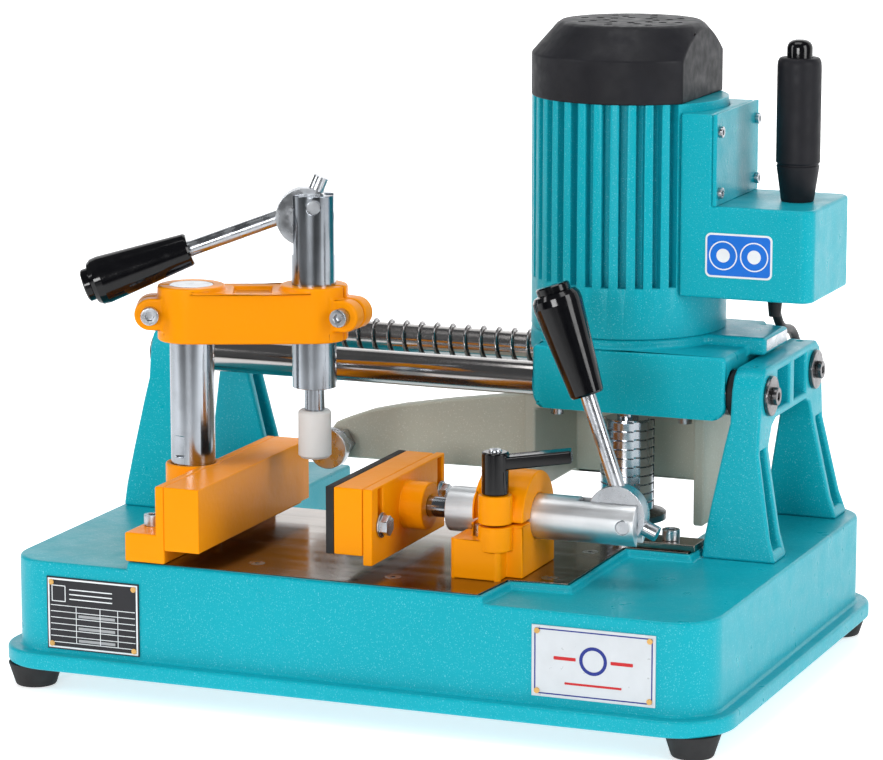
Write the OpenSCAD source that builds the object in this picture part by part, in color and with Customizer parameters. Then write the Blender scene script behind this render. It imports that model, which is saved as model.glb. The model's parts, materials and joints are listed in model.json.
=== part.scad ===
// Bench end-milling machine for window and door profiles.
// A motor on a carriage slides along two guide bars, behind a table with two cam clamps.
// Frame: +X right, +Y back, +Z up, origin under the middle of the base, on the bench.

/* [Base] */
// width of the base body
base_w = 530; // [480:5:580]
// depth of the base body
base_d = 385; // [350:5:420]
// height of the base's painted top
base_top = 95; // [85:1:105]
// height of the steel table's face
table_top = 101; // [98:1:110]
// how far the flange stands out of the base
flange_out = 10; // [6:1:14]
// depth of the front part of the base
front_depth = 205; // [190:5:220]

/* [Guide] */
// diameter of the guide bars
bar_d = 25; // [20:1:30]
// height of the guide bars' axes
bar_z = 209.5; // [200:0.5:220]
// distance between the guide bars
bar_gap = 111; // [100:1:120]
// height of the top of the bar brackets
bracket_top = 230; // [225:1:236]
// distance from one bracket to the other
bracket_pitch = 460.5; // [430:0.5:470]

/* [Motor] */
// outer radius of the motor housing
motor_r = 72; // [65:1:75]
// height of the housing's top
motor_top = 415; // [380:1:430]
// height of the fan cover's top
cover_top = 469; // [450:1:480]
// number of grooves round the housing
groove_count = 36; // [24:2:40]
// radius of the cutters
cutter_r = 20; // [15:1:25]
// number of stacked cutters
cutter_count = 10; // [6:1:12]

/* [Clamps] */
// diameter of the clamp tubes
tube_d = 32; // [28:1:36]
// length of the clamp tubes
tube_len = 140; // [120:5:150]
// diameter of the swivel post
post_d = 32; // [28:1:36]
// distance from the post to the vertical clamp
arm_reach = 88; // [75:1:100]
// angle of the swivel arm
arm_angle = 23; // [0:1:60]
// length of a lever grip
grip_len = 80; // [70:1:95]

/* [Cord] */
// diameter of the mains cord
cord_d = 7; // [6:0.5:9]

/* [Hidden] */
$fn = 64;
eps = 0.02;
fit = 0.05;

origin_x = 265;
origin_y = base_d / 2;

corner_r = 32;
wall = 9;
flange_low = 17;
flange_high = 29;
left_arm_w = 105;
right_arm_w = 90;
foot_inset = 15.5;

pad_top = 100.5;
plate_thick = 4;

bar_mid_y = 277.5;
front_bar_y = bar_mid_y - bar_gap / 2;
rear_bar_y = bar_mid_y + bar_gap / 2;
right_bracket_x = 479;
bracket_thick = 22.5;
left_bracket_x = right_bracket_x - bracket_pitch;
bar_start = left_bracket_x;
bar_end = right_bracket_x + bracket_thick;

motor_x = 375;
carriage_left = 327;
carriage_right = 474;
carriage_low = 192;
carriage_mid = 238;
carriage_top = 245;
carriage_half = 75;
carriage_corner = 10;
barrel_low = 227;
plate_low = 232;
plate_right = 488;
plate_y0 = 253;
plate_y1 = 326;
bush_r = 16;
bush_len = 32;
cord_exit = [475, 318];

post_x = 109;
post_y = 87;
post_top = 287;
arm_low = 247;
arm_r = 24.5;
tube_x = post_x + arm_reach * cos(arm_angle);
tube_y = post_y + arm_reach * sin(arm_angle);
vertical_top = 352;
horizontal_y = 87;
horizontal_z = 139.5;
horizontal_end = 451;

teal = [0.11, 0.70, 0.77];
orange = [1.0, 0.64, 0.0];
steel = [0.72, 0.73, 0.75];
dark_steel = [0.28, 0.27, 0.28];
black = [0.05, 0.05, 0.06];
cream = [0.74, 0.73, 0.67];
white = [0.93, 0.93, 0.92];
copper = [0.75, 0.42, 0.22];
brass = [0.80, 0.62, 0.28];

// ---------- shared shapes ----------

// everything is drawn from the base's front left corner, then moved to the frame's origin
module placed() {
    translate([-origin_x, -origin_y, 0]) children();
}

// an upright box with four round corners, from its low corner
module round_box(size, r) {
    translate([r, 0, 0]) cube([size.x - 2 * r, size.y, size.z]);
    translate([0, r, 0]) cube([size.x, size.y - 2 * r, size.z]);
    for (x = [r, size.x - r], y = [r, size.y - r])
        translate([x, y, 0]) cylinder(r = r, h = size.z);
}

// a cylinder along +X from a point
module rod_x(at, r, len) {
    translate(at) rotate([0, 90, 0]) cylinder(r = r, h = len);
}

// a cylinder along +Y from a point
module rod_y(at, r, len) {
    translate(at) rotate([-90, 0, 0]) cylinder(r = r, h = len);
}

// an outline in X and Z, given thickness towards +Y
module slab_xz(y, thick) {
    translate([0, y + thick, 0]) rotate([90, 0, 0]) linear_extrude(thick) children();
}

// an outline in Y and Z, given thickness towards +X
module slab_yz(x, thick) {
    translate([x, 0, 0]) rotate([90, 0, 90]) linear_extrude(thick) children();
}

// socket screw, pointing down, its head's underside at z = 0; head is the head's height in diameters
module cap_screw(d, len, head = 1) {
    difference() {
        union() {
            cylinder(r = 0.8125 * d, h = d * head);
            translate([0, 0, -len]) cylinder(d = d, h = len + eps);
        }
        translate([0, 0, d * head / 2]) cylinder(d = d * 0.86, h = d, $fn = 6);
    }
}

// ---------- base ----------

// plan of the base: a front bar and two arms, open at the back
module base_plan(grow, z, h) {
    r = corner_r + grow;
    difference() {
        translate([-grow, -grow, z]) round_box([base_w + 2 * grow, base_d + 2 * grow, h], r);
        translate([left_arm_w + grow, front_depth + grow, z - 1])
            cube([base_w - left_arm_w - right_arm_w - 2 * grow, base_d, h + 2]);
    }
}

// raised seat under the steel table
module table_seat(z, h, inset) {
    translate([0, 0, z]) linear_extrude(h) polygon([
        [97 + inset, inset / 2], [367 - inset, inset / 2], [371 - inset, 46 + inset],
        [414 - inset, 50 + inset], [414 - inset, 168 + inset], [462 - inset, 168 + inset],
        [462 - inset, front_depth - 2], [97 + inset, front_depth - 2]
    ]);
}

bracket_screw_at = [
    for (bx = [left_bracket_x, right_bracket_x], y = [bar_mid_y - 77, bar_mid_y + 77])
        [bx + 15, y, 103]
];
block_screw_at = [[346, 116, 129], [346, 58, 129]];
fence_screw_at = [[105, 28, 122], [105, 160, 122]];
table_bar_screw_at = [[440, 187, 106]];
cap_screw_at = concat(bracket_screw_at, block_screw_at, fence_screw_at, table_bar_screw_at);
table_screw_at = [
    [185, 30], [290, 28], [392, 66], [185, 170], [290, 170], [392, 150]
];

module base_casting() {
    color(teal) placed() difference() {
        union() {
            base_plan(flange_out, flange_low, flange_high - flange_low);
            base_plan(0, flange_low, base_top - flange_low);
            table_seat(base_top - eps, pad_top - base_top + eps, 0);
            for (bx = [left_bracket_x - 15.5, right_bracket_x - 15.5])
                for (y = [bar_mid_y - 92.5, bar_mid_y + 59])
                    translate([bx, y, base_top - eps]) cube([55, 33.5, eps]);
        }
        // hollow underside
        translate([wall, wall, flange_low - 1])
            round_box([base_w - 2 * wall, front_depth - 2 * wall, base_top - flange_low - wall], 24);
        translate([wall, front_depth - 40, flange_low - 1])
            round_box([left_arm_w - 2 * wall, base_d - front_depth + 40 - wall,
                       base_top - flange_low - wall], 20);
        translate([base_w - right_arm_w + wall, front_depth - 40, flange_low - 1])
            round_box([right_arm_w - 2 * wall, base_d - front_depth + 40 - wall,
                       base_top - flange_low - wall], 20);
        // seat of the steel table
        table_seat(pad_top - plate_thick + 0.5, plate_thick + 1, 4);
        for (p = cap_screw_at)
            translate([p.x, p.y, 75]) cylinder(r = 4 + fit, h = 40);
        for (p = table_screw_at)
            translate([p.x, p.y, 80]) cylinder(r = 3 + fit, h = 30);
        for (x = [foot_inset, base_w - foot_inset], y = [foot_inset, base_d - foot_inset])
            translate([x, y, flange_low - 1]) cylinder(r = 4 + fit, h = 15);
    }
}

module work_table() {
    low = pad_top - plate_thick + 0.5;
    color(steel) placed() difference() {
        table_seat(low, table_top - low, 4 + fit);
        for (p = table_screw_at) {
            translate([p.x, p.y, 80]) cylinder(r = 3 + fit, h = 30);
            translate([p.x, p.y, table_top - 3]) cylinder(r1 = 3, r2 = 6 + eps, h = 3 + eps);
        }
        for (p = concat(block_screw_at, fence_screw_at, table_bar_screw_at))
            translate([p.x, p.y, 75]) cylinder(r = 4 + fit, h = 40);
    }
}

module table_bar() {
    color(dark_steel) placed() difference() {
        translate([414, 175, table_top]) cube([48, 24, 5]);
        for (p = table_bar_screw_at)
            translate([p.x, p.y, 75]) cylinder(r = 4 + fit, h = 40);
    }
}

module table_screws() {
    color(dark_steel) placed() for (p = table_screw_at)
        translate([p.x, p.y, table_top]) difference() {
            union() {
                translate([0, 0, -3 + fit]) cylinder(r1 = 2.9, r2 = 5.85, h = 2.95);
                translate([0, 0, -16]) cylinder(r = 2.9, h = 13.1);
            }
            translate([0, 0, -2]) cylinder(r = 2, h = 3, $fn = 6);
        }
}

module cap_screws() {
    color(dark_steel) placed() for (p = cap_screw_at)
        translate(p) cap_screw(8, p.z - 84);
}

module rubber_feet() {
    color(black) placed()
        for (x = [foot_inset, base_w - foot_inset], y = [foot_inset, base_d - foot_inset])
            translate([x, y, 0]) {
                cylinder(r1 = 14.5, r2 = 20, h = flange_low);
                translate([0, 0, flange_low - eps]) cylinder(r = 4, h = 13);
            }
}

module thin_plate(x0, x1, z0, z1) {
    translate([x0, -1, z0]) difference() {
        cube([x1 - x0, 1, z1 - z0]);
        for (x = [4, x1 - x0 - 4], z = [4, z1 - z0 - 4])
            rod_y([x, -1, z], 1.2, 3);
    }
}

module rating_plate() {
    color(black) placed() thin_plate(34, 107, 32, 85);
}

module name_plate() {
    color(white) placed() thin_plate(404, 493, 35, 85);
}

module plate_rivets() {
    color(brass) placed() for (q = [[34, 107, 32, 85], [404, 493, 35, 85]])
        for (x = [q[0] + 4, q[1] - 4], z = [q[2] + 4, q[3] - 4]) {
            rod_y([x, -1, z], 1.2, 1);
            rod_y([x, -1.8, z], 2, 0.8);
        }
}

// ---------- bar brackets ----------

module bracket_side() {
    polygon(concat(
        [[-92.5, base_top], [-75, 215], [-70, 225], [-62, bracket_top]],
        [[62, bracket_top], [70, 225], [75, 215], [92.5, base_top]],
        [[62, base_top], [60, 120], [54, 174], [47, 186], [37, 190]],
        [[-37, 190], [-47, 186], [-54, 174], [-60, 120], [-62, base_top]]
    ));
}

module bracket_front() {
    polygon([
        [-15.5, base_top], [39.5, base_top], [34, 112], [29, 137], [bracket_thick, 170],
        [bracket_thick, bracket_top], [0, bracket_top], [0, 192], [-3, 177], [-10, 137],
        [-14, 112]
    ]);
}

module bracket(x0) {
    difference() {
        union() {
            translate([x0, bar_mid_y, 0]) intersection() {
                slab_yz(-20, 70) bracket_side();
                slab_xz(-100, 200) bracket_front();
            }
            for (y = [front_bar_y, rear_bar_y])
                rod_x([x0, y, bar_z], 18, bracket_thick);
        }
        // pockets on the +X side of the legs, with a rib across each
        for (s = [-1, 1]) {
            translate([x0 + 8, bar_mid_y, 0]) slab_yz(0, 40)
                polygon([[s * 69, 103], [s * 86, 103], [s * 75, 172], [s * 63, 172]]);
            translate([x0 + 8, bar_mid_y, 0]) slab_yz(0, 40)
                polygon([[s * 35, 196], [s * 6, 196], [s * 6, 224], [s * 35, 224]]);
        }
        for (y = [front_bar_y, rear_bar_y])
            rod_x([x0 - 1, y, bar_z], bar_d / 2 + fit, bracket_thick + 2);
        for (y = [front_bar_y, rear_bar_y])
            translate([x0 + 11, y, bar_z]) cylinder(r = 3 + fit, h = 30);
        for (s = [-1, 1])
            translate([x0 + 15, bar_mid_y + s * 77, 75]) cylinder(r = 4 + fit, h = 40);
    }
}

module left_bracket() {
    color(teal) placed() bracket(left_bracket_x);
}

module right_bracket() {
    color(teal) placed() bracket(right_bracket_x);
}

module guide_bars() {
    color(steel) placed() for (y = [front_bar_y, rear_bar_y]) difference() {
        rod_x([bar_start, y, bar_z], bar_d / 2, bar_end - bar_start);
        for (x = [bar_start - 1, bar_end - 17])
            rod_x([x, y, bar_z], 4 + fit, 18);
    }
}

module bar_washers() {
    color(dark_steel) placed() for (y = [front_bar_y, rear_bar_y], x = [bar_start - 3, bar_end])
        difference() {
            rod_x([x, y, bar_z], 14.5, 3);
            rod_x([x - 1, y, bar_z], 4 + fit, 5);
        }
}

module bar_screws() {
    color(dark_steel) placed() for (y = [front_bar_y, rear_bar_y]) {
        translate([bar_end + 3, y, bar_z]) rotate([0, 90, 0]) cap_screw(8, 18, 0.5);
        translate([bar_start - 3, y, bar_z]) rotate([0, -90, 0]) cap_screw(8, 18, 0.5);
        for (bx = [left_bracket_x, right_bracket_x])
            translate([bx + 11, y, bar_z + bar_d / 2]) cylinder(r = 3, h = 7);
    }
}

module bumpers() {
    color(black) placed() for (y = [front_bar_y, rear_bar_y]) difference() {
        rod_x([carriage_right + 0.3, y, bar_z], 17, right_bracket_x - carriage_right - 0.3);
        rod_x([carriage_right - 1, y, bar_z], bar_d / 2 + fit, 10);
    }
}

// ---------- return spring ----------

spring_start = left_bracket_x + bracket_thick;
spring_end = carriage_left;
spring_turns = 24;
spring_r = 14.3;
spring_wire_r = 1.15;
spring_steps = 16;
spring_sides = 6;
spring_points = [
    for (i = [0:spring_turns * spring_steps])
        let (a = 360 * i / spring_steps,
             x = spring_start + spring_wire_r
                 + (spring_end - spring_start - 2 * spring_wire_r) * i / (spring_turns * spring_steps))
            [x, spring_r * cos(a), spring_r * sin(a)]
];

// rings of points round a path, as one closed solid
module swept(path, r, sides) {
    last = len(path) - 1;
    tangents = [
        for (i = [0:last])
            let (a = path[max(i - 1, 0)], b = path[min(i + 1, last)]) (b - a) / norm(b - a)
    ];
    rings = [
        for (i = [0:last])
            let (t = tangents[i],
                 side = abs(t.z) > 0.95 ? [0, 1, 0] : [0, 0, 1],
                 u = cross(t, side) / norm(cross(t, side)),
                 v = cross(t, u))
                for (k = [0:sides - 1])
                    path[i] + r * (cos(360 * k / sides) * u + sin(360 * k / sides) * v)
    ];
    faces = concat(
        [[for (k = [0:sides - 1]) k]],
        [[for (k = [sides - 1:-1:0]) last * sides + k]],
        [for (i = [0:last - 1], k = [0:sides - 1])
            [i * sides + k, (i + 1) * sides + k,
             (i + 1) * sides + (k + 1) % sides, i * sides + (k + 1) % sides]]
    );
    polyhedron(points = rings, faces = faces, convexity = 10);
}

module return_spring() {
    color(steel) placed() translate([0, rear_bar_y, bar_z]) helix();
}

// the spring's section is framed by the coil's own radius, so it never twists
module helix() {
    last = spring_turns * spring_steps;
    rings = [
        for (i = [0:last])
            let (p = spring_points[i], a = 360 * i / spring_steps)
                for (k = [0:spring_sides - 1])
                    let (w = 360 * k / spring_sides)
                        p + spring_wire_r * [sin(w), cos(w) * cos(a), cos(w) * sin(a)]
    ];
    faces = concat(
        [[for (k = [0:spring_sides - 1]) k]],
        [[for (k = [spring_sides - 1:-1:0]) last * spring_sides + k]],
        [for (i = [0:last - 1], k = [0:spring_sides - 1])
            [i * spring_sides + k, (i + 1) * spring_sides + k,
             (i + 1) * spring_sides + (k + 1) % spring_sides,
             i * spring_sides + (k + 1) % spring_sides]]
    );
    polyhedron(points = rings, faces = faces, convexity = 10);
}

// ---------- fence and post ----------

module fence_bracket() {
    color(orange) placed() difference() {
        union() {
            translate([96, 0, table_top]) cube([31, 192, 21]);
            translate([120, 0, table_top]) cube([7, 192, 56]);
            translate([post_x, post_y, table_top]) cylinder(r = 20, h = 56);
        }
        translate([post_x, post_y, table_top - 1]) cylinder(r = post_d / 2 + fit, h = 60);
        for (p = fence_screw_at)
            translate([p.x, p.y, 75]) cylinder(r = 4 + fit, h = 60);
    }
}

module fence() {
    color(orange) placed() difference() {
        translate([127, 0, 111]) cube([27, 192, 46]);
        translate([126, 178, 110]) cube([30, 15, 2]);
        rod_x([post_x, post_y, 140], post_d / 2, 14);
        translate([post_x, post_y, 110]) cylinder(r = 20 + fit, h = 50);
    }
}

module clamp_post() {
    color(steel) placed() difference() {
        translate([post_x, post_y, table_top]) cylinder(d = post_d, h = post_top - table_top);
        translate([post_x - post_d, post_y - post_d / 2 - 1, 163]) cube([post_d, 3.5, 15]);
    }
}

// ---------- swivel arm ----------

module on_arm() {
    translate([post_x, post_y, 0]) rotate([0, 0, arm_angle]) children();
}

// each lug: its ring's distance along the arm, its side, its turn about the ring
arm_lugs = [[0, -1, 0], [arm_reach, 1, -25]];
lug_out = 29;
arm_mid = arm_low + 20;

module on_lug(lug) {
    translate([lug.x, 0, 0]) rotate([0, 0, lug.z]) children();
}

module clamp_arm() {
    high = post_top - arm_low;
    color(orange) placed() on_arm() difference() {
        union() {
            translate([0, 0, arm_low]) cylinder(r = arm_r, h = high);
            translate([arm_reach, 0, arm_low]) cylinder(r = arm_r, h = high);
            translate([0, -arm_r, arm_low]) cube([arm_reach, 2 * arm_r, high - 4]);
            for (lug = arm_lugs) on_lug(lug) {
                rod_y([lug.y * lug_out, -14, arm_mid], 11.5, 28);
                translate([lug.y * (lug_out - 6) - 6, -14, arm_mid - 11.5]) cube([12, 28, 23]);
            }
        }
        for (x = [0, arm_reach])
            translate([x, 0, arm_low - 1]) cylinder(r = tube_d / 2 + fit, h = high + 2);
        translate([arm_r + 6, -arm_r + 9, post_top - 7])
            cube([arm_reach - 2 * arm_r - 12, 2 * arm_r - 18, 4]);
        for (lug = arm_lugs) on_lug(lug) {
            translate([lug.y * lug_out - 16, -1, arm_low - 1]) cube([32, 2, high + 2]);
            rod_y([lug.y * lug_out, -20, arm_mid], 4 + fit, 40);
        }
    }
}

module arm_screws() {
    color(dark_steel) placed() on_arm() for (lug = arm_lugs)
        on_lug(lug) translate([lug.y * lug_out, -14, arm_mid]) rotate([90, 0, 0]) cap_screw(8, 26);
}

// ---------- cam clamps: tube along Z with its free end at z = 0, lever towards -X ----------

pin_z = -8;
cam_x = -6;
cam_z = -16;
cam_r = 21;
cam_thick = 12;
lever_tilt = 19.5;
stub_tilt = 22.7;
rod_len = 152;
lever_rod_r = 5.5;
grip_start = 94;
plunger_r = 7.25;
plunger_top = cam_z - cam_r - 0.6;
plunger_end = -170;

module vertical_clamp() {
    translate([tube_x, tube_y, vertical_top]) rotate([0, 0, arm_angle]) children();
}

module horizontal_clamp() {
    translate([horizontal_end, horizontal_y, horizontal_z]) rotate([0, 90, 0]) children();
}

module clamp_tube() {
    difference() {
        translate([0, 0, -tube_len]) cylinder(d = tube_d, h = tube_len);
        translate([0, 0, -tube_len - 1]) cylinder(r = plunger_r + fit, h = tube_len + 2);
        translate([-tube_d, -cam_thick / 2 - 0.2, -44]) cube([2 * tube_d, cam_thick + 0.4, 45]);
        rod_y([0, -tube_d, pin_z], 5 + fit, 2 * tube_d);
    }
}

// from the pin, out along the lever
module on_lever() {
    translate([0, 0, pin_z]) rotate([0, -90 - lever_tilt, 0]) children();
}

module cam_lever() {
    rod_y([cam_x, -cam_thick / 2, cam_z], cam_r, cam_thick);
    on_lever() cylinder(r = lever_rod_r, h = rod_len);
    translate([cam_x, 0, cam_z]) rotate([0, stub_tilt, 0]) cylinder(r = 5.5, h = cam_r + 10);
    rod_y([0, -15, pin_z], 5, 30);
}

module lever_grip() {
    grip_end = grip_start + grip_len;
    on_lever() rotate_extrude() polygon([
        [lever_rod_r, grip_start], [11, grip_start], [12, grip_start + 1.5],
        [17.5, grip_end - 14], [17, grip_end - 9], [15, grip_end - 6], [12, grip_end - 5],
        [12, grip_end - 1], [11, grip_end], [0, grip_end], [0, rod_len],
        [lever_rod_r, rod_len]
    ]);
}

module clamp_plunger() {
    translate([0, 0, plunger_end]) cylinder(r = plunger_r, h = plunger_top - plunger_end);
}

module vertical_tube() {
    color(steel) placed() vertical_clamp() clamp_tube();
}

module vertical_cam() {
    color(steel) placed() vertical_clamp() cam_lever();
}

module vertical_grip() {
    color(black) placed() vertical_clamp() lever_grip();
}

module vertical_plunger() {
    color(steel) placed() vertical_clamp() clamp_plunger();
}

module vertical_pad() {
    color(white) placed() vertical_clamp() difference() {
        rotate_extrude() polygon([
            [0, -192], [10, -192], [12, -190], [12, -158.5], [10.5, -157], [0, -157]
        ]);
        translate([0, 0, plunger_end]) cylinder(r = plunger_r, h = 20);
    }
}

module horizontal_tube() {
    color(steel) placed() horizontal_clamp() clamp_tube();
}

module horizontal_cam() {
    color(steel) placed() horizontal_clamp() cam_lever();
}

module horizontal_grip() {
    color(black) placed() horizontal_clamp() lever_grip();
}

module horizontal_plunger() {
    color(steel) placed() horizontal_clamp() clamp_plunger();
}

// ---------- horizontal clamp's block and pad ----------

block_x0 = 327;
block_x1 = 364;
ring_x0 = 338;
ring_x1 = 376;
lug_x = 357;
lug_y = 51.5;

module horizontal_block() {
    color(orange) placed() difference() {
        union() {
            translate([block_x0, 41, table_top]) round_box([block_x1 - block_x0, 92, 28], 4);
            rod_x([ring_x0, horizontal_y, horizontal_z], 32, ring_x1 - ring_x0);
            translate([ring_x0, horizontal_y - 32, table_top]) cube([ring_x1 - ring_x0, 64, 36]);
            translate([lug_x, lug_y, table_top + 20]) cylinder(r = 12, h = 39.5);
        }
        rod_x([block_x0 - 1, horizontal_y, horizontal_z], tube_d / 2 + fit, 60);
        translate([ring_x0 - 12, 30, horizontal_z - 0.75]) cube([60, 45, 1.5]);
        translate([lug_x, lug_y, 118]) cylinder(r = 4 + fit, h = 60);
        for (p = block_screw_at) {
            translate([p.x, p.y, 75]) cylinder(r = 4 + fit, h = 70);
            translate([p.x, p.y, p.z]) cylinder(r = 7, h = 60);
        }
    }
}

module clamping_lever() {
    color(black) placed() translate([lug_x, lug_y, 0]) {
        translate([0, 0, 160.8]) cylinder(r = 9.5, h = 30);
        translate([0, 0, 122]) cylinder(r = 4, h = 39);
        rotate([0, 0, 16]) translate([0, -6.5, 178]) rotate([0, -7, 0]) cube([54, 13, 9]);
    }
}

pad_y0 = 21;
pad_y1 = 157;
pad_z0 = 108.5;
pad_z1 = 163;
pad_x = 270;
bolt_y = [37, 148];
bolt_z = 135;

module pad_plate() {
    color(orange) placed() difference() {
        union() {
            translate([pad_x, pad_y0, pad_z0]) cube([7, pad_y1 - pad_y0, pad_z1 - pad_z0]);
            rod_x([pad_x + 7, horizontal_y, horizontal_z], 17, 17);
        }
        rod_x([281, horizontal_y, horizontal_z], plunger_r, 20);
        for (y = bolt_y)
            translate([pad_x - 1, y - 4.3, bolt_z - 5]) cube([9, 8.6, 31]);
    }
}

module pad_bolts() {
    color(dark_steel) placed() for (y = bolt_y) {
        rod_x([pad_x - 12, y, bolt_z], 4, 20);
        translate([pad_x + 7.2, y, bolt_z]) rotate([0, 90, 0]) cylinder(r = 9, h = 1.6);
        translate([pad_x + 8.8, y, bolt_z]) rotate([0, 90, 0]) cylinder(r = 7.5, h = 5.5, $fn = 6);
    }
}

module pad_block() {
    color(orange) placed() difference() {
        translate([248, pad_y0, 115]) cube([pad_x - 0.3 - 248, pad_y1 - pad_y0 - 3, 48]);
        for (y = bolt_y)
            rod_x([pad_x - 12, y, bolt_z], 4, 20);
    }
}

module pad_rubber() {
    color(black) placed()
        translate([242, pad_y0, 115]) cube([6, pad_y1 - pad_y0 - 3, 48]);
}

// ---------- carriage ----------

module carriage_casting() {
    color(teal) placed() difference() {
        union() {
            // block round the bars, its lower left and right edges round
            translate([0, bar_mid_y, 0]) slab_xz(-carriage_half, 2 * carriage_half) union() {
                translate([carriage_left, carriage_low + carriage_corner])
                    square([carriage_right - carriage_left, carriage_mid - carriage_low - carriage_corner]);
                translate([carriage_left + carriage_corner, carriage_low])
                    square([carriage_right - carriage_left - 2 * carriage_corner, carriage_corner + eps]);
                for (x = [carriage_left + carriage_corner, carriage_right - carriage_corner])
                    translate([x, carriage_low + carriage_corner]) circle(r = carriage_corner);
            }
            translate([motor_x, bar_mid_y, barrel_low])
                cylinder(r = motor_r, h = carriage_top - barrel_low);
            translate([motor_x, plate_y0, plate_low])
                cube([plate_right - motor_x, plate_y1 - plate_y0, carriage_top - plate_low]);
        }
        translate([cord_exit.x - 8, cord_exit.y - 8, plate_low - 2]) cube([30, 60, 20]);
        translate([motor_x, bar_mid_y, carriage_low - 1]) cylinder(r = 15, h = 60);
        translate([motor_x, bar_mid_y, carriage_top - 14]) cylinder(r = 23.5, h = 15);
        for (y = [front_bar_y, rear_bar_y]) {
            rod_x([carriage_left - 1, y, bar_z], bar_d / 2 + 0.6, 150);
            rod_x([carriage_left - 1, y, bar_z], bush_r, bush_len + 1);
            rod_x([carriage_right - bush_len, y, bar_z], bush_r, bush_len + 1);
        }
    }
}

module linear_bushes() {
    color(dark_steel) placed() for (y = [front_bar_y, rear_bar_y])
        for (x = [carriage_left, carriage_right - bush_len]) difference() {
            rod_x([x, y, bar_z], bush_r, bush_len);
            rod_x([x - 1, y, bar_z], bar_d / 2 + fit, bush_len + 2);
        }
}

module motor_housing() {
    floor_z = carriage_top;
    color(teal) placed() translate([motor_x, bar_mid_y, 0]) difference() {
        translate([0, 0, floor_z]) cylinder(r = motor_r, h = motor_top - floor_z);
        translate([0, 0, floor_z - 1]) cylinder(r = 56, h = 158);
        translate([0, 0, motor_top - 14]) cylinder(r = 20, h = 20);
        for (i = [0:groove_count - 1])
            rotate([0, 0, (i + 0.5) * 360 / groove_count])
                translate([63, -3, i < 4 || i > groove_count - 5 ? 300 : 282])
                    cube([20, 6, i < 4 || i > groove_count - 5 ? 85 : 140]);
    }
}

// a cup with one flat side towards the switch box
module fan_cover() {
    high = cover_top - motor_top;
    flat = 55.5;
    skin = 2.5;
    color(black) placed() translate([motor_x, bar_mid_y, motor_top]) difference() {
        rotate_extrude() polygon([
            [0, 0], [72.5, 0], [72.5, 31], [54, high - 2], [51, high], [0, high]
        ]);
        difference() {
            rotate_extrude() polygon([
                [0, -1], [72.5 - skin, -1], [72.5 - skin, 30], [50, high - skin],
                [0, high - skin]
            ]);
            translate([flat - skin, -80, -2]) cube([40, 160, high + 4]);
        }
        translate([flat, -80, -2]) cube([40, 160, high + 4]);
        for (ring = [18, 28, 38], i = [0:7])
            rotate([0, 0, i * 45 + ring]) translate([ring, 0, high - 5]) cylinder(r = 3, h = 8);
    }
}

module stator() {
    color(copper) placed() translate([motor_x, bar_mid_y, 290]) difference() {
        cylinder(r = 56, h = 85);
        translate([0, 0, -1]) cylinder(r = 33, h = 90);
    }
}

module rotor_core() {
    color(dark_steel) placed() translate([motor_x, bar_mid_y, 290]) difference() {
        cylinder(r = 32.5, h = 85);
        translate([0, 0, -1]) cylinder(r = 10, h = 90);
    }
}

module motor_shaft() {
    color(steel) placed() translate([motor_x, bar_mid_y, 0]) {
        translate([0, 0, 106]) cylinder(r = 8, h = 74);
        translate([0, 0, 180]) cylinder(r = 13, h = 51);
        translate([0, 0, 231]) cylinder(r = 10, h = 167);
        translate([0, 0, 398]) cylinder(r = 8.5, h = 42);
    }
}

module motor_bearings() {
    color(steel) placed() translate([motor_x, bar_mid_y, 0]) {
        translate([0, 0, carriage_top - 14]) difference() {
            cylinder(r = 23.5, h = 14);
            translate([0, 0, -1]) cylinder(r = 10 + fit, h = 20);
        }
        translate([0, 0, motor_top - 14]) difference() {
            cylinder(r = 20, h = 12);
            translate([0, 0, -1]) cylinder(r = 8.5 + fit, h = 20);
        }
    }
}

module cooling_fan() {
    color(black) placed() translate([motor_x, bar_mid_y, 418]) difference() {
        union() {
            cylinder(r = 14, h = 18);
            cylinder(r = 50, h = 2);
            for (i = [0:8])
                rotate([0, 0, i * 40]) translate([12, -1, 0]) cube([38, 2, 18]);
        }
        translate([0, 0, -1]) cylinder(r = 8.5, h = 30);
    }
}

module cutter() {
    low = 106;
    pitch = 68 / cutter_count;
    color(steel) placed() translate([motor_x, bar_mid_y, 0]) difference() {
        for (i = [0:cutter_count - 1])
            translate([0, 0, low + i * pitch]) {
                cylinder(r = cutter_r, h = pitch - 1.2);
                cylinder(r = cutter_r - 4, h = pitch + (i < cutter_count - 1 ? eps : 0));
            }
        translate([0, 0, low - 1]) cylinder(r = 8, h = 80);
        for (i = [0:5])
            rotate([0, 0, i * 60]) translate([cutter_r - 4, 1, low - 1]) cube([8, 5, 80]);
    }
}

module cutter_flange() {
    color(dark_steel) placed() translate([motor_x, bar_mid_y, 0]) difference() {
        union() {
            translate([0, 0, 98]) cylinder(r = 29.5, h = 5);
            translate([0, 0, 103]) cylinder(r1 = 29.5, r2 = 18, h = 3);
        }
        translate([0, 0, 97]) cylinder(r = 5, h = 6, $fn = 6);
    }
}

// ---------- guard and end stop ----------

guard_y0 = 247;
guard_y1 = 346;
guard_left = 304;
guard_right = 444.5;
stop_x = 154.5;
stop_z = 143;
guard_screw_at = [[325, 262, 182], [425, 262, 182], [325, 330, 182], [425, 330, 182]];

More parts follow.
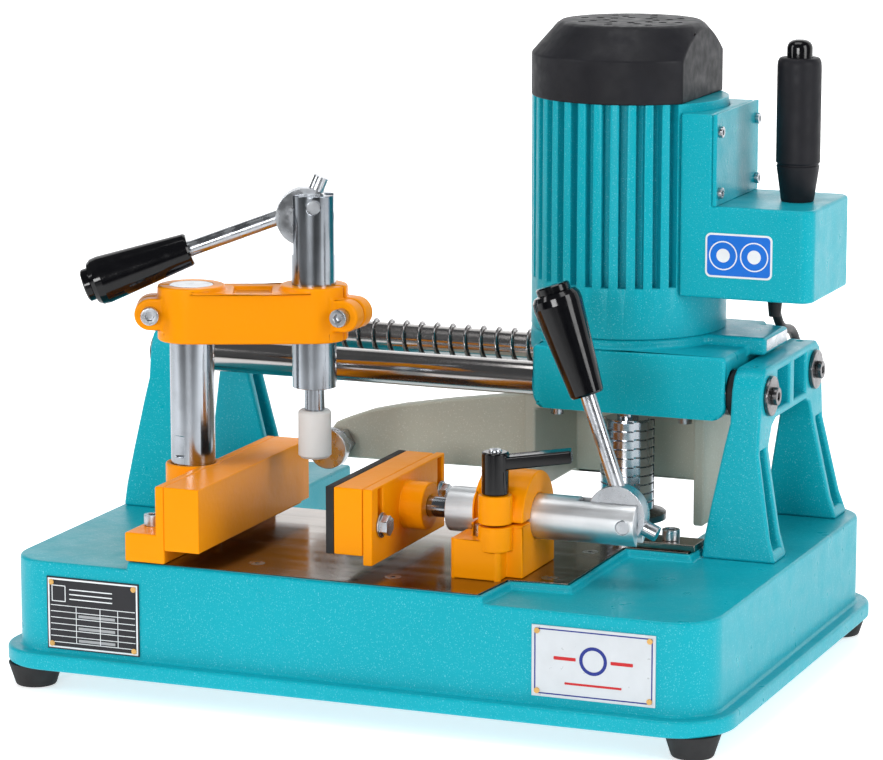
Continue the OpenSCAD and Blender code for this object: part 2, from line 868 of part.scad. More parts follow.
module cutter_guard() {
    color(cream) placed() difference() {
        union() {
            translate([guard_left, guard_y0, 172])
                cube([guard_right - guard_left, guard_y1 - guard_y0, carriage_low - 172]);
            translate([guard_left, guard_y0, 118]) cube([9, guard_y1 - guard_y0, 60]);
            translate([guard_right - 8, guard_y0, 103]) cube([8, guard_y1 - guard_y0, 75]);
            translate([guard_left, guard_y1 - 8, 116]) cube([guard_right - guard_left, 8, 60]);
            slab_xz(252, 14) polygon([
                [146, 131], [guard_left + 1, 133], [guard_left + 1, 191], [283, 188], [243, 182],
                [203, 175], [178, 169], [162, 163], [150, 158], [144, 150], [142, 140]
            ]);
        }
        translate([guard_left + 9, guard_y0 - 1, 171])
            cube([guard_right - guard_left - 17, guard_y1 - guard_y0 - 7, 11]);
        translate([motor_x, bar_mid_y, 160]) cylinder(r = 18, h = 40);
        rod_y([stop_x, 240, stop_z], 6 + fit, 40);
        for (p = guard_screw_at)
            translate([p.x, p.y, 160]) cylinder(r = 3 + fit, h = 40);
    }
}

module end_stop() {
    color(steel) placed() {
        rod_y([stop_x, 224, stop_z], 15.5, 8);
        rod_y([stop_x, 232 - eps, stop_z], 6, 46);
        translate([stop_x, 242, stop_z]) rotate([-90, 0, 0]) difference() {
            cylinder(r = 12, h = 9.8, $fn = 6);
            translate([0, 0, -1]) cylinder(r = 6 - eps, h = 12);
        }
    }
}

// ---------- switch box ----------

box_y0 = 228;
box_y1 = 327;
box_x0 = 430;
box_tall_x = 454.5;
box_x1 = 529;
box_z0 = 276;
box_z1 = 343;
box_z2 = 409;
box_wall = 4;
grip_x = 503;
box_screw_at = [[457.5, 234, 396], [457.5, 321, 396], [457.5, 234, 352], [457.5, 321, 352]];

module switch_box() {
    depth = box_y1 - box_y0;
    color(teal) placed() difference() {
        union() {
            translate([box_x0, box_y0, box_z0]) cube([box_tall_x - box_x0, depth, box_z2 - box_z0]);
            translate([box_x0, box_y0, box_z0])
                round_box([box_x1 - box_x0, depth, box_z1 - box_z0], 10);
            translate([box_x0, box_y0, box_z0]) cube([30, depth, box_z1 - box_z0]);
        }
        translate([box_tall_x - 10, box_y0 + box_wall, box_z0 + box_wall])
            cube([box_x1 - box_tall_x + 10 - box_wall, depth - 2 * box_wall,
                  box_z1 - box_z0 - 2 * box_wall]);
        translate([box_tall_x - 6, box_y0 + 12, box_z1 - box_wall - 1])
            cube([7, depth - 24, box_z2 - box_z1 - 4]);
        translate([motor_x, bar_mid_y, box_z0 - 1]) cylinder(r = motor_r, h = 150);
        translate([grip_x, bar_mid_y, box_z1 - 10]) cylinder(r = 8, h = 20);
        translate([cord_exit.x, cord_exit.y, box_z0 - 1]) cylinder(r = 6 + fit, h = 10);
        for (p = box_screw_at)
            rod_x([p.x - 13, p.y, p.z], 2.5 + fit, 20);
    }
}

module box_cover() {
    color(teal) placed() difference() {
        translate([box_tall_x, box_y0, box_z1]) cube([3, box_y1 - box_y0, box_z2 - box_z1]);
        for (p = box_screw_at)
            rod_x([p.x - 13, p.y, p.z], 2.5 + fit, 20);
    }
}

module carriage_screws() {
    color(dark_steel) placed() {
        for (p = box_screw_at)
            translate(p) rotate([0, 90, 0]) cap_screw(5, 12, 0.6);
        for (p = guard_screw_at)
            translate(p) rotate([180, 0, 0]) cap_screw(6, carriage_low - p.z - 0.1);
    }
}

module handle_grip() {
    color(black) placed() translate([grip_x, bar_mid_y, box_z1]) rotate_extrude() polygon([
        [11.5, 0], [12, 1], [16, 28], [16, 100], [14, 104], [9.6, 104], [9.6, 92], [8, 92],
        [8, 0]
    ]);
}

module start_button() {
    color(black) placed() translate([grip_x, bar_mid_y, box_z1]) rotate_extrude() polygon([
        [0, 97], [9.3, 97], [9.3, 112], [7.5, 115.5], [4, 117], [0, 117]
    ]);
}

module switch_module() {
    color(dark_steel) placed() translate([grip_x, bar_mid_y, box_z1]) {
        translate([0, 0, -12]) cylinder(r = 7.9, h = 104);
    }
}

module cord_gland() {
    color(black) placed() translate([cord_exit.x, cord_exit.y, 0]) difference() {
        union() {
            translate([0, 0, box_z0 - 6]) cylinder(r = 9, h = 6);
            translate([0, 0, box_z0 - eps]) cylinder(r = 6, h = 8);
            translate([0, 0, box_z0 - 26]) cylinder(r1 = 4.4, r2 = 6.5, h = 20 + eps);
        }
        translate([0, 0, box_z0 - 30]) cylinder(d = cord_d, h = 50);
    }
}

// ---------- mains cord ----------

coil_at = [430, 452];
coil_r = 40;
coil_layers = 3;
coil_rings = 3;
route = [
    [475, 318, 286], [475, 318, 276], [475, 318, 266], [475, 321, 255], [475, 327, 246],
    [475, 337, 239], [475, 348, 236], [475, 360, 233], [475, 370, 226], [475, 377, 216],
    [475, 381, 204], [475, 384, 186], [475, 387, 168], [476, 389, 150], [476, 392, 132],
    [476, 395, 114], [477, 398, 96], [477, 401, 78], [477, 403, 61], [477, 405, 46],
    [477, 407, 33], [477, 411, 21], [477, 419, 11], [477, 430, 5], [477, 442, 3.5],
    [477, 452, 3.5]
];

module mains_cord() {
    color(black) placed() swept(route, cord_d / 2, 8);
}

module cord_coil() {
    half = coil_rings * cord_d / 2;
    color(black) placed() translate([coil_at.x, coil_at.y, 0]) rotate_extrude()
        translate([coil_r - half, 0]) square([2 * half, coil_layers * cord_d]);
}

// lies on the coil, its cord end where the inner ring rises to it
module mains_plug() {
    plug_w = 24;
    plug_h = 15;
    color(black) placed() translate([coil_at.x, coil_at.y + 33, coil_layers * cord_d]) {
        rotate([0, 0, 90]) translate([0, 20, plug_h / 2]) rotate([90, 0, 0])
            cylinder(r1 = 6, r2 = 4.2, h = 20);
        translate([-58, -plug_w / 2, 0]) round_box([38, plug_w, plug_h], 5);
        for (y = [-7, 7]) rod_x([-76, y, plug_h / 2], 2.2, 19);
    }
}

base_casting();
work_table();
table_bar();
table_screws();
cap_screws();
rubber_feet();
rating_plate();
name_plate();
plate_rivets();
left_bracket();
right_bracket();
guide_bars();
bar_washers();
bar_screws();
bumpers();
return_spring();
fence_bracket();
fence();
clamp_post();
clamp_arm();
arm_screws();
vertical_tube();
vertical_cam();
vertical_grip();
vertical_plunger();
vertical_pad();
horizontal_block();
clamping_lever();
horizontal_tube();
horizontal_cam();
horizontal_grip();
horizontal_plunger();
pad_plate();
pad_bolts();
pad_block();
pad_rubber();
carriage_casting();
linear_bushes();
motor_housing();
fan_cover();
stator();
rotor_core();
motor_shaft();
motor_bearings();
cooling_fan();
cutter();
cutter_flange();
cutter_guard();
end_stop();
switch_box();
box_cover();
carriage_screws();
handle_grip();
start_button();
switch_module();
cord_gland();
mains_cord();
cord_coil();
mains_plug();
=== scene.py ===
"""Looks of a bench end-milling machine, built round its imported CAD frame.

Sizes are in millimetres from the base's front left corner, as in part.scad, and at() turns them
into the frame's metres. Each section makes one group of pieces.
"""

import json
from math import cos, pi, radians, sin

import bmesh
import bpy
from mathutils import Matrix, Vector


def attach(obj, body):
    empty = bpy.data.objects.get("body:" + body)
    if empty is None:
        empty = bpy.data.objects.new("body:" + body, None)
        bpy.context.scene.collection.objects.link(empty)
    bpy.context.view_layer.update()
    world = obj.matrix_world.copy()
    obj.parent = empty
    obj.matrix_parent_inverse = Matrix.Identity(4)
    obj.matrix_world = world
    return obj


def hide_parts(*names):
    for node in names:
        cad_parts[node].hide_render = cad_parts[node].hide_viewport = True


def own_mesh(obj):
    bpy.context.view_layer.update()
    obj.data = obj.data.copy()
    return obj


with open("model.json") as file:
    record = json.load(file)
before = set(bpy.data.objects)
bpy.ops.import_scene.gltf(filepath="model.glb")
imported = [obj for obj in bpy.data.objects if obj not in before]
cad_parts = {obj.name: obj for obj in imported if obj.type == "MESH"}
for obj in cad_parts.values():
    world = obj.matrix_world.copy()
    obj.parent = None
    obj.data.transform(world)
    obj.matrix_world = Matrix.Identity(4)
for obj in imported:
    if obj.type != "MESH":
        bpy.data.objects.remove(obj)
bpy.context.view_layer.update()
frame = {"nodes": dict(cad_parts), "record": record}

MM = 0.001
CORNER = Vector((265, 192.5, 0))  # the frame's origin, seen from the base's front left corner


def at(x, y, z):
    return (Vector((x, y, z)) - CORNER) * MM


# ---------- camera, fitted to the edges of the base and the bars in the photo ----------

camera = bpy.data.objects.new("camera", bpy.data.cameras.new("camera"))
camera.location = at(1312.9, -2423.7, 751)
camera.rotation_euler = (radians(90 - 10.88), 0, radians(21.92))
camera.data.lens = 160
camera.data.sensor_width = 36
camera.data.clip_end = 60
bpy.context.scene.collection.objects.link(camera)
bpy.context.scene.camera = camera


# ---------- materials ----------


class Paint:
    """A Principled material with the few node groups that this scene's finishes are made of."""

    def __init__(
        self, name, color, roughness, metallic=0.0, coat=0.0, coat_roughness=0.1, specular=0.22
    ):
        self.material = bpy.data.materials.new(name)
        self.material.use_nodes = True
        self.material.diffuse_color = (*color, 1)
        self.nodes = self.material.node_tree.nodes
        self.links = self.material.node_tree.links
        self.shader = self.nodes["Principled BSDF"]
        self.shader.inputs["Base Color"].default_value = (*color, 1)
        self.shader.inputs["Roughness"].default_value = roughness
        self.shader.inputs["Metallic"].default_value = metallic
        self.shader.inputs["Coat Weight"].default_value = coat
        self.shader.inputs["Coat Roughness"].default_value = coat_roughness
        self.shader.inputs["Specular IOR Level"].default_value = specular
        self.place = self.nodes.new("ShaderNodeTexCoord").outputs["Object"]
        self.color = None

    def stretched(self, scale):
        mapping = self.nodes.new("ShaderNodeMapping")
        mapping.inputs["Scale"].default_value = scale
        self.links.new(self.place, mapping.inputs["Vector"])
        return mapping.outputs["Vector"]

    def noise(self, per_metre, detail=3, stretch=(1, 1, 1)):
        noise = self.nodes.new("ShaderNodeTexNoise")
        noise.inputs["Scale"].default_value = per_metre
        noise.inputs["Detail"].default_value = detail
        self.links.new(self.stretched(stretch), noise.inputs["Vector"])
        return noise.outputs["Fac"]

    def span(self, value, low, high, to_low=0.0, to_high=1.0):
        ramp = self.nodes.new("ShaderNodeMapRange")
        ramp.inputs["From Min"].default_value = low
        ramp.inputs["From Max"].default_value = high
        ramp.inputs["To Min"].default_value = to_low
        ramp.inputs["To Max"].default_value = to_high
        self.links.new(value, ramp.inputs["Value"])
        return ramp.outputs["Result"]

    def tint(self, share, color):
        """Mixes color over what the surface has so far."""
        mix = self.nodes.new("ShaderNodeMix")
        mix.data_type = "RGBA"
        self.links.new(share, mix.inputs["Factor"])
        if self.color is None:
            mix.inputs["A"].default_value = self.shader.inputs["Base Color"].default_value
        else:
            self.links.new(self.color, mix.inputs["A"])
        mix.inputs["B"].default_value = (*color, 1)
        self.color = mix.outputs["Result"]
        self.links.new(self.color, self.shader.inputs["Base Color"])

    def rough(self, value):
        self.links.new(value, self.shader.inputs["Roughness"])

    def bump(self, height, depth_mm, strength=1.0):
        bump = self.nodes.new("ShaderNodeBump")
        bump.inputs["Distance"].default_value = depth_mm * MM
        bump.inputs["Strength"].default_value = strength
        self.links.new(height, bump.inputs["Height"])
        before = self.shader.inputs["Normal"].links
        if before:
            self.links.new(before[0].from_socket, bump.inputs["Normal"])
        self.links.new(bump.outputs["Normal"], self.shader.inputs["Normal"])


def speckled(name, color, painted_glint, roughness=0.33):
    """Powder coat over a casting: an orange-peel skin with fine bright specks of painted glint, standing in
    for its highlights.
    """
    p = Paint(name, color, roughness, coat=0.03, coat_roughness=0.18, specular=0.14)
    p.tint(p.span(p.noise(9, 4), 0.35, 0.75, 0, 0.22), [c * 0.72 for c in color])
    # painted glint: fine specks of a lighter colour stand in for the skin's highlights
    p.tint(p.span(p.noise(1100, 2), 0.61, 0.71, 0, 0.45), painted_glint)
    p.rough(p.span(p.noise(60, 4), 0.3, 0.7, roughness - 0.06, roughness + 0.08))
    p.bump(p.noise(330, 3), 0.35, 0.5)
    p.bump(p.noise(1100, 2), 0.10, 0.5)
    return p.material


def smooth_paint(name, color):
    """Powder coat over machined parts, with a finer skin and no painted glint."""
    p = Paint(name, color, 0.30, coat=0.03, coat_roughness=0.08, specular=0.09)
    p.tint(p.span(p.noise(14, 4), 0.35, 0.7, 0, 0.16), [c * 0.85 for c in color])
    p.rough(p.span(p.noise(80, 3), 0.3, 0.7, 0.28, 0.38))
    p.bump(p.noise(240, 3), 0.35, 0.5)
    return p.material


def bright_metal(name, color, roughness, stretch=(1, 1, 1), blotch=0.5, fine=0.02):
    """Ground or plated metal: cloudy roughness, fine lines along stretch's short sides."""
    p = Paint(name, color, roughness, metallic=1.0)
    p.tint(p.span(p.noise(38, 5), 0.4, 0.72, 0, blotch), [c * 0.55 for c in color])
    p.rough(p.span(p.noise(90, 5, stretch), 0.3, 0.75, roughness * 0.6, roughness * 1.7))
    p.bump(p.noise(900, 3, stretch), fine, 0.5)
    return p.material


def dull_black(name, color, roughness, grain_mm=0.06, grain=700):
    """Rubber or grained plastic; grain is the grain's number per metre."""
    p = Paint(name, color, roughness)
    p.tint(p.span(p.noise(35, 4), 0.4, 0.7, 0, 0.5), [c * 1.6 + 0.003 for c in color])
    p.rough(p.span(p.noise(120, 3), 0.3, 0.7, roughness - 0.08, roughness + 0.10))
    p.bump(p.noise(grain, 2), grain_mm, 0.6)
    return p.material


def gloss_black(name):
    p = Paint(name, (0.003, 0.003, 0.004), 0.14, coat=0.25, coat_roughness=0.05)
    p.tint(p.span(p.noise(60, 4), 0.55, 0.75, 0, 0.3), (0.012, 0.012, 0.014))
    p.rough(p.span(p.noise(200, 4), 0.4, 0.8, 0.10, 0.24))
    p.bump(p.noise(160, 2), 0.04, 0.4)
    return p.material


def nylon(name):
    p = Paint(name, (0.80, 0.80, 0.79), 0.42)
    p.shader.inputs["Subsurface Weight"].default_value = 0.25
    p.shader.inputs["Subsurface Radius"].default_value = (0.004, 0.004, 0.004)
    p.tint(p.span(p.noise(50, 4), 0.4, 0.7, 0, 0.3), (0.68, 0.68, 0.66))
    p.bump(p.noise(60, 2, (1, 1, 30)), 0.05, 0.4)
    return p.material


def printed(name, color, metallic=0.0, roughness=0.35):
    p = Paint(name, color, roughness, metallic=metallic, coat=0.2)
    p.tint(p.span(p.noise(70, 4), 0.4, 0.75, 0, 0.25), [c * 0.75 for c in color])
    p.rough(p.span(p.noise(150, 3), 0.3, 0.7, roughness - 0.08, roughness + 0.1))
    return p.material


finish = {
    # the third colour of each speckled paint is its painted glint, a lighter colour standing in for
    # highlights
    "teal_paint": speckled("teal_paint", (0.004, 0.385, 0.475), (0.22, 0.72, 0.80)),
    "orange_paint": smooth_paint("orange_paint", (0.94, 0.315, 0.001)),
    "guard_paint": speckled("guard_paint", (0.47, 0.46, 0.385), (0.80, 0.79, 0.74), 0.42),
    "polished_steel": bright_metal("polished_steel", (0.42, 0.45, 0.49), 0.17, (1, 1, 0.06), 0.7),
    "plate_steel": bright_metal("plate_steel", (0.27, 0.23, 0.20), 0.16, (0.05, 1, 1), 0.35),
    "dark_steel": bright_metal("dark_steel", (0.16, 0.155, 0.16), 0.28),
    "zinc_steel": bright_metal("zinc_steel", (0.52, 0.54, 0.57), 0.26),
    "spring_steel": bright_metal("spring_steel", (0.26, 0.25, 0.25), 0.22),
    "cutter_steel": bright_metal("cutter_steel", (0.55, 0.58, 0.62), 0.18, (1, 1, 0.1)),
    "black_gloss": gloss_black("black_gloss"),
    "black_matte": dull_black("black_matte", (0.009, 0.009, 0.012), 0.50),
    "cord_black": dull_black("cord_black", (0.014, 0.014, 0.015), 0.42),
    "black_rubber": dull_black("black_rubber", (0.020, 0.020, 0.021), 0.66, 0.10, 500),
    "white_nylon": nylon("white_nylon"),
    "brass_rivet": bright_metal("brass_rivet", (0.66, 0.40, 0.14), 0.25),
    "label_black": printed("label_black", (0.018, 0.018, 0.022)),
    "label_white": printed("label_white", (0.62, 0.65, 0.68), 0.25),
    "copper_winding": bright_metal("copper_winding", (0.66, 0.27, 0.12), 0.3),
    "bearing_steel": bright_metal("bearing_steel", (0.55, 0.55, 0.57), 0.2),
}
# painted light: a lighter copy of the tubes' steel for the horizontal tube alone, standing in for the
# brighter light that falls on it
painted_lit_tube_steel = bright_metal("painted_lit_tube_steel", (0.74, 0.76, 0.78), 0.36, (0.06, 1, 1), 0.35)
bar_steel = bright_metal("bar_steel", (0.46, 0.44, 0.43), 0.13, (0.04, 1, 1), 0.3)
label_blue = printed("label_blue", (0.01, 0.16, 0.66))
label_navy = printed("label_navy", (0.015, 0.03, 0.24))
label_red = printed("label_red", (0.55, 0.015, 0.02))
label_pale = printed("label_pale", (0.80, 0.83, 0.85))
label_grey = printed("label_grey", (0.36, 0.37, 0.38), 0.3)

slot_of = {s["node"]: s["material_slot"] for s in frame["record"]["subparts"]}
body_of = {
    node: body for body, nodes in frame["record"]["behaviour"]["bodies"].items() for node in nodes
}


# ---------- mesh helpers ----------


def piece(name, mesh, material, body, node=None):
    """Puts a finished mesh in the scene, riding on its body; node is the CAD node that it replaces."""
    made = bpy.data.objects.new(name, mesh)
    bpy.context.scene.collection.objects.link(made)
    mesh.materials.append(material)
    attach(made, body)
    if node:
        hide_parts(node)
    return made


def mesh_of(bm, name, smooth_angle=35, from_cad=False):
    """Turns bm into a mesh, smooth across edges flatter than smooth_angle."""
    if not from_cad:
        bmesh.ops.recalc_face_normals(bm, faces=bm.faces)
    mesh = bpy.data.meshes.new(name)
    bm.to_mesh(mesh)
    bm.free()
    mesh.polygons.foreach_set("use_smooth", [True] * len(mesh.polygons))
    mesh.set_sharp_from_angle(angle=radians(smooth_angle))
    return mesh


def weigh_normals(made):
    """Keeps wide flat faces flat where they meet a rounded edge."""
    weighted = made.modifiers.new("flat faces", "WEIGHTED_NORMAL")
    weighted.keep_sharp = True
    weighted.weight = 50


def edge_angle(edge):
    return edge.calc_face_angle(0) if len(edge.link_faces) == 2 else 0


def cad_bmesh(node):
    """A CAD node's mesh, welded. Its triangles are kept, as a face with a hole can't be one polygon."""
    bm = bmesh.new()
    bm.from_mesh(frame["nodes"][node].data)
    bmesh.ops.remove_doubles(bm, verts=bm.verts, dist=0.002 * MM)
    return bm


def rounded(bm, radius, segments=2, where=None, sharper_than=38):
    """Rounds the sharp edges that where() picks."""
    edges = [
        e for e in bm.edges if edge_angle(e) > radians(sharper_than) and (where is None or where(e))
    ]
    bmesh.ops.bevel(
        bm, geom=edges, offset=radius * MM, segments=segments, profile=0.5, affect="EDGES",
        clamp_overlap=False,
    )
    return bm


def softened(node, radius, segments=2, where=None):
    """A CAD node with its sharp edges rounded."""
    bm = cad_bmesh(node)
    rounded(bm, radius, segments, where)
    name = node + "_shape"
    mesh = mesh_of(bm, name, from_cad=True)
    made = piece(name, mesh, finish[slot_of[node]], body_of[node], node)
    weigh_normals(made)
    return made


def lathe(bm, profile, steps=48, place=Matrix.Identity(4)):
    """Turns (radius, height) points about Z, then moves them by place; ends at radius 0 are closed."""
    rings = []
    for r, z in profile:
        if r < 1e-6:
            rings.append([bm.verts.new(place @ (Vector((0, 0, z)) * MM))])
        else:
            turn = [2 * pi * i / steps for i in range(steps)]
            rings.append([bm.verts.new(place @ (Vector((r * cos(a), r * sin(a), z)) * MM)) for a in turn])
    for low, high in zip(rings, rings[1:]):
        for i in range(steps):
            j = (i + 1) % steps
            if len(low) == 1 and len(high) > 1:
                bm.faces.new((low[0], high[j], high[i]))
            elif len(high) == 1 and len(low) > 1:
                bm.faces.new((low[i], low[j], high[0]))
            elif len(low) > 1:
                bm.faces.new((low[i], low[j], high[j], high[i]))


def outline_slab(bm, points, thick, place):
    """A flat outline in local X and Y, thick mm deep along local Z from 0, moved by place."""
    low = [bm.verts.new(place @ (Vector((x, y, 0)) * MM)) for x, y in points]
    high = [bm.verts.new(place @ (Vector((x, y, thick)) * MM)) for x, y in points]
    bm.faces.new(low[::-1])
    bm.faces.new(high)
    for i in range(len(points)):
        j = (i + 1) % len(points)
        bm.faces.new((low[i], low[j], high[j], high[i]))


def round_outline(x0, x1, y0, y1, r, steps=5):
    """A rectangle's outline with round corners."""
    points = []
    for cx, cy, start in ((x1 - r, y1 - r, 0), (x0 + r, y1 - r, 1), (x0 + r, y0 + r, 2), (x1 - r, y0 + r, 3)):
        for i in range(steps + 1):
            a = pi / 2 * (start + i / steps)
            points.append((cx + r * cos(a), cy + r * sin(a)))
    return points


def ring_outline(bm, outer, inner, thick, place):
    """A flat frame between two outlines with as many points each."""
    sets = [
        [bm.verts.new(place @ (Vector((x, y, z)) * MM)) for x, y in line]
        for line in (outer, inner) for z in (0, thick)
    ]
    outer_low, outer_high, inner_low, inner_high = sets
    for i in range(len(outer)):
        j = (i + 1) % len(outer)
        bm.faces.new((outer_low[i], outer_low[j], outer_high[j], outer_high[i]))
        bm.faces.new((inner_low[j], inner_low[i], inner_high[i], inner_high[j]))
        bm.faces.new((outer_high[i], outer_high[j], inner_high[j], inner_high[i]))
        bm.faces.new((outer_low[j], outer_low[i], inner_low[i], inner_low[j]))


def facing_front(x, y, z):
    """Local X to the right, local Y up, local Z towards the front, from that point."""
    return Matrix.Translation(at(x, y, z)) @ Matrix.Rotation(pi / 2, 4, "X")


def upright(x, y, z):
    return Matrix.Translation(at(x, y, z))


def along_x(x, y, z):
    return Matrix.Translation(at(x, y, z)) @ Matrix.Rotation(pi / 2, 4, "Y")


def swept_tube(bm, path, radius_mm, sides):
    """A round tube along a path of points in metres, closed at both ends."""
    rings = []
    for i, p in enumerate(path):
        along = (path[min(i + 1, len(path) - 1)] - path[max(i - 1, 0)]).normalized()
        side = along.cross(Vector((1, 0, 0))).normalized()
        other = along.cross(side)
        rings.append([
            bm.verts.new(p + radius_mm * MM * (cos(a) * side + sin(a) * other))
            for a in (2 * pi * k / sides for k in range(sides))
        ])
    for low, high in zip(rings, rings[1:]):
        for k in range(sides):
            j = (k + 1) % sides
            bm.faces.new((low[k], low[j], high[j], high[k]))
    bm.faces.new(rings[0][::-1])
    bm.faces.new(rings[-1])


# ---------- mains cord ----------

CORD_D = 7
CORD_EXIT = (475, 318, 276)
COIL = Vector((430, 452, 0))
COIL_R = 47
COIL_TURNS = 6.25
STEPS_A_TURN = 20
PLUG_RISE = 11  # how far the coil's end climbs, onto the plug
TIE_WIDTH = 4.5
TIE_ANGLE = radians(215)
ROUTE = [
    (475, 318, 286), CORD_EXIT, (475, 318, 266), (475, 321, 255), (475, 327, 246),
    (475, 337, 239), (475, 348, 236), (475, 360, 233), (475, 370, 226), (475, 377, 216),
    (475, 381, 204), (475, 384, 186), (475, 387, 168), (476, 389, 150), (476, 392, 132),
    (476, 395, 114), (477, 398, 96), (477, 401, 78), (477, 403, 61), (477, 405, 46),
    (477, 407, 33), (477, 411, 21), (477, 419, 11), (477, 430, 5), (477, 442, 3.5), (477, 452, 3.5),
]


def eased(t, start, end):
    s = min(max((t - start) / (end - start), 0), 1)
    return s * s * (3 - 2 * s)


def coil_point(turns):
    """A point of the coil after so many turns: in, up, out, up and in again, then onto the plug."""
    r, z = COIL_R, CORD_D / 2
    for n, way in enumerate((-1, -1, 1, 1, -1, -1)):
        r += way * CORD_D * eased(turns, n + 0.52, n + 0.97)
    for n in (2.05, 4.05):
        z += CORD_D * eased(turns, n, n + 0.40)
    z += PLUG_RISE * eased(turns, 5.7, 6.2)
    a = 2 * pi * turns
    return at(COIL.x + r * cos(a), COIL.y + r * sin(a), z)


def cord_tie():
    """A flat band round all of the coil's strands at one place."""
    bm = bmesh.new()
    outside = round_outline(28.9, 51.1, 0.3, 22.2, 3)
    inside = round_outline(29.5, 50.5, 0.9, 21.4, 2.6)
    place = upright(COIL.x, COIL.y, 0) @ Matrix.Rotation(TIE_ANGLE, 4, "Z")
    place = place @ Matrix.Rotation(pi / 2, 4, "X")
    place = place @ Matrix.Translation((0, 0, -TIE_WIDTH / 2 * MM))
    ring_outline(bm, outside, inside, TIE_WIDTH, place)
    tie = piece("cord_tie", mesh_of(bm, "cord_tie"), finish["black_matte"], "carriage")
    return tie


def mains_cord():
    """The whole cord as one curve: down from the box, into the coil and up to the plug."""
    points = [at(*p) for p in ROUTE]
    steps = round(COIL_TURNS * STEPS_A_TURN)
    points += [coil_point(COIL_TURNS * i / steps) for i in range(1, steps + 1)]
    curve = bpy.data.curves.new("cord", "CURVE")
    curve.dimensions = "3D"
    curve.bevel_depth = CORD_D / 2 * MM
    curve.bevel_resolution = 5
    curve.resolution_u = 3
    spline = curve.splines.new("BEZIER")
    spline.bezier_points.add(len(points) - 1)
    for handle, p in zip(spline.bezier_points, points):
        handle.co = p
        handle.handle_left_type = handle.handle_right_type = "AUTO"
    cord = bpy.data.objects.new("cord", curve)
    bpy.context.scene.collection.objects.link(cord)
    curve.materials.append(finish["cord_black"])
    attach(cord, "carriage")
    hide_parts("mains_cord", "cord_coil")
    cord_tie()


# ---------- return spring ----------

SPRING_START, SPRING_END = 41, 327
SPRING_TURNS = 24
CLOSE_COILS = 2.6  # the length that the close coils take up
REAR_BAR_Y, BAR_Z = 333, 209.5


def return_spring():
    """Coils close up over the last turn at each end."""
    r, wire, steps = 14.3, 1.15, 28
    low, high = SPRING_START + wire, SPRING_END - wire
    path = []
    for i in range(SPRING_TURNS * steps + 1):
        share = i / (SPRING_TURNS * steps)
        closed = 1.2 / SPRING_TURNS  # the share of the turns that lie close together at each end
        along = min(max((share - closed * 0.8) / (1 - 1.6 * closed), 0), 1)
        a = 2 * pi * i / steps
        edge = wire * SPRING_TURNS * (closed + min(share, closed) - min(1 - share, closed))
        x = low + (high - low - CLOSE_COILS) * along + edge
        path.append(at(x, REAR_BAR_Y + r * cos(a), BAR_Z + r * sin(a)))
    bm = bmesh.new()
    swept_tube(bm, path, wire, 8)
    made = piece("spring", mesh_of(bm, "spring", 60), finish["spring_steel"], "base", "return_spring")
    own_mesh(made)


return_spring()


# ---------- castings and machined parts with rounded edges ----------


POST_X, POST_Y = 109, 87
ARM_REACH, ARM_ANGLE = 88, radians(23)
ARM_RINGS = (
    at(POST_X, POST_Y, 0),
    at(POST_X + ARM_REACH * cos(ARM_ANGLE), POST_Y + ARM_REACH * sin(ARM_ANGLE), 0),
)
BRACKET_SCREWS = [(x, y) for x in (33.5, 494) for y in (200.5, 354.5)]
BLOCK_AND_FENCE_SCREWS = [(346, 116), (346, 58), (105, 28), (105, 160), (440, 187)]
TABLE_SCREWS = [(185, 30), (290, 28), (392, 66), (185, 170), (290, 170), (392, 150)]
HOLES = BRACKET_SCREWS + BLOCK_AND_FENCE_SCREWS + TABLE_SCREWS
CARRIAGE_BOTTOM = 192
SCREW_RIM_R, ARM_BORE_R = 5, 17  # an edge this near the axis belongs to the hole


def near_hole(e):
    """Picks the rims of the base's and the table's screw holes, which stay sharp."""
    middle = (e.verts[0].co + e.verts[1].co) / 2
    return any((middle.xy - at(x, y, 0).xy).length < SCREW_RIM_R * MM for x, y in HOLES)


def wide(e):
    """Picks edges long enough to round, so the short chords of small holes stay sharp."""
    return e.calc_length() > 0.9 * MM


def arm_bore(e):
    """Picks the rims of the swivel arm's two bores."""
    middle = ((e.verts[0].co + e.verts[1].co) / 2).xy
    return any((middle - centre.xy).length < ARM_BORE_R * MM for centre in ARM_RINGS)


softened(
    "base_casting", 2.4, 4,
    where=lambda e: not near_hole(e) and e.calc_length() > 1.8 * MM,
)
for name in ("left_bracket", "right_bracket"):
    softened(name, 2.2, 3, where=wide)
softened("work_table", 0.4, 2, where=lambda e: not near_hole(e))
softened(
    "carriage_casting", 3.0, 4,
    where=lambda e: wide(e) and e.verts[0].co.z > (CARRIAGE_BOTTOM + 2) * MM,
)
softened("fan_cover", 1.2, 3, where=wide)
softened("cutter_guard", 1.8, 3, where=wide)
softened("fence", 0.8, 2, where=wide)
softened("fence_bracket", 1.4, 3, where=wide)
softened("clamp_arm", 1.8, 3, where=lambda e: wide(e) and not arm_bore(e))
softened("horizontal_block", 1.2, 2, where=wide)
softened("pad_plate", 1.0, 2, where=wide)
softened("pad_block", 1.2, 2, where=wide)
softened("pad_rubber", 0.6, 2)
softened("switch_box", 2.4, 4, where=wide)
softened("box_cover", 0.5, 2)
softened("motor_housing", 0.9, 2, where=lambda e: e.calc_length() > 2.5 * MM)
for name, radius in {
    "table_bar": 0.6, "clamp_post": 0.8, "vertical_tube": 0.5, "horizontal_tube": 0.5,
    "horizontal_plunger": 0.5, "cutter_flange": 0.4, "end_stop": 0.6, "bar_washers": 0.6,
    "cap_screws": 0.5, "arm_screws": 0.5, "pad_bolts": 0.5, "bar_screws": 0.4,
    "carriage_screws": 0.3, "bumpers": 0.8, "mains_plug": 1.0, "rubber_feet": 1.2,
    "clamping_lever": 1.2, "guide_bars": 0.5, "vertical_cam": 0.4, "horizontal_cam": 0.4,
    "rating_plate": 0.2, "name_plate": 0.2,
}.items():
    softened(name, radius)

